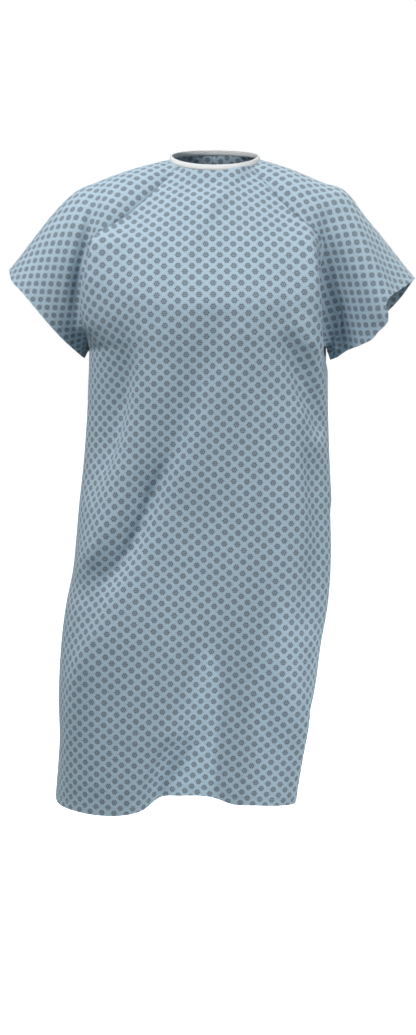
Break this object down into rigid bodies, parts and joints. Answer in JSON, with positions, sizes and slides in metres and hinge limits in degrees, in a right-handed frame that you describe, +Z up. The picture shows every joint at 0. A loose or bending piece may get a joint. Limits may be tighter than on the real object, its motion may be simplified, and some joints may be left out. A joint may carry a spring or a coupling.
{
  "type": "patient gown",
  "caption": "Knee-length hospital patient gown with flared raglan sleeves, a bound round neck and a tied back opening, in the shape it takes when worn.",
  "frame": {"origin": "centre of the neckline, level with the top of the shoulders", "axes": "+Z up, front of the gown towards -Y, the wearer's left side towards +X"},
  "size_m": [0.716, 0.3435, 1.1481],
  "materials": {
    "gown_cloth": "matte",
    "binding_tape": "matte"
  },
  "bodies": {
    "gown_body": {"front_panel": "gown_cloth", "front_hem": "gown_cloth", "left_back_panel": "gown_cloth", "right_back_panel": "gown_cloth", "left_sleeve_yoke": "gown_cloth", "right_sleeve_yoke": "gown_cloth", "neck_binding": "binding_tape", "left_neck_tie": "binding_tape", "right_neck_tie": "binding_tape", "neck_bow": "binding_tape", "left_tie_patch": "gown_cloth", "right_tie_patch": "gown_cloth", "left_waist_tie": "binding_tape", "right_waist_tie": "binding_tape", "waist_bow": "binding_tape"},
    "left_sleeve_body": {"left_sleeve": "gown_cloth", "left_sleeve_hem": "gown_cloth"},
    "right_sleeve_body": {"right_sleeve": "gown_cloth", "right_sleeve_hem": "gown_cloth"},
    "left_flap_body": {"left_back_flap": "gown_cloth", "left_back_hem": "gown_cloth"},
    "right_flap_body": {"right_back_flap": "gown_cloth", "right_back_hem": "gown_cloth"}
  },
  "joints": [
    {"name": "left_sleeve_lift", "type": "hinge", "parent": "gown_body", "child": "left_sleeve_body", "pos_m": [0.198, 0, -0.05], "axis": [0, -1, 0], "range_deg": [0, 25]},
    {"name": "right_sleeve_lift", "type": "hinge", "parent": "gown_body", "child": "right_sleeve_body", "pos_m": [-0.222, 0, -0.05], "axis": [0, 1, 0], "range_deg": [0, 25]},
    {"name": "left_back_flap_open", "type": "hinge", "parent": "gown_body", "child": "left_flap_body", "pos_m": [0.2055, 0, -0.6], "axis": [-0.1097, 0, -0.994], "range_deg": [0, 55], "stiffness_Nm_per_rad": 0.02},
    {"name": "right_back_flap_open", "type": "hinge", "parent": "gown_body", "child": "right_flap_body", "pos_m": [-0.239, 0, -0.6], "axis": [0.0883, 0, 0.9961], "range_deg": [0, 55], "stiffness_Nm_per_rad": 0.02}
  ]
}
